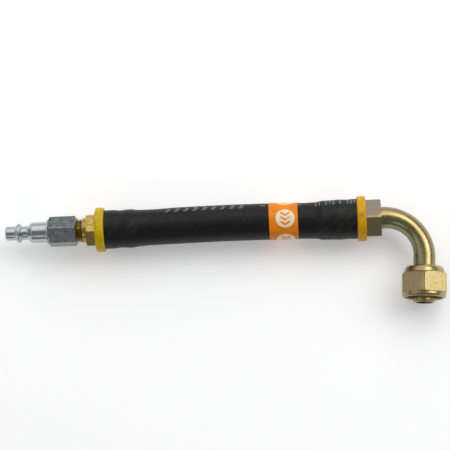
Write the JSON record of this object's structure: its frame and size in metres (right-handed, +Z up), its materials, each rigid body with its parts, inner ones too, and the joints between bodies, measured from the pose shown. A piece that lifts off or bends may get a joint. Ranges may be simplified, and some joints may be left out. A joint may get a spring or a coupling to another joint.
{
  "type": "hose assembly",
  "caption": "Short barbed hose with a quick-connect plug at one end and a bent-tube elbow with a swivel nut at the other, lying flat.",
  "frame": {"origin": "middle of the bounding box, at the height of the lowest point, on which the assembly lies", "axes": "+X along the hose from the quick-connect plug to the elbow, +Z up out of the plane that the hose and the elbow lie in, and the elbow turns towards -Y"},
  "size_m": [0.2544, 0.0638, 0.0293],
  "materials": {
    "plug_steel": "clear zinc plated, satin",
    "brass": "machined, slightly tarnished",
    "lemon_plastic": "moulded, satin",
    "amber_plastic": "moulded, satin",
    "tube_rubber": "smooth, matte",
    "braid_yarn": "braided yarn",
    "cover_rubber": "fine cloth-wrapped grain, satin",
    "orange_label": "printed film",
    "gold_zinc": "yellow dichromate zinc plated, iridescent",
    "seal_rubber": "smooth"
  },
  "bodies": {
    "plug_end": {"quick_connect_plug": "plug_steel", "brass_barb_fitting": "brass", "plug_end_ring": "lemon_plastic", "hose_inner_tube": "tube_rubber", "hose_textile_braid": "braid_yarn", "hose_cover": "cover_rubber", "wrap_label": "orange_label"},
    "elbow_end": {"elbow_end_ring": "amber_plastic", "elbow_barb_nipple": "gold_zinc", "elbow_tube": "gold_zinc", "pilot_o_ring": "seal_rubber"},
    "nut": {"swivel_nut": "gold_zinc"}
  },
  "joints": [
    {"name": "hose_flex", "type": "hinge", "parent": "plug_end", "child": "elbow_end", "pos_m": [0.00206, 0.01876, 0.01465], "axis": [0, 0, 1], "range_deg": [-30, 30], "stiffness_Nm_per_rad": 3.5, "deforming": ["hose_inner_tube", "hose_textile_braid", "hose_cover", "wrap_label"]},
    {"name": "nut_swivel", "type": "hinge", "parent": "elbow_end", "child": "nut", "pos_m": [0.11482, -0.00489, 0.01465], "axis": [-0.0558, -0.9984, 0], "continuous": true}
  ]
}
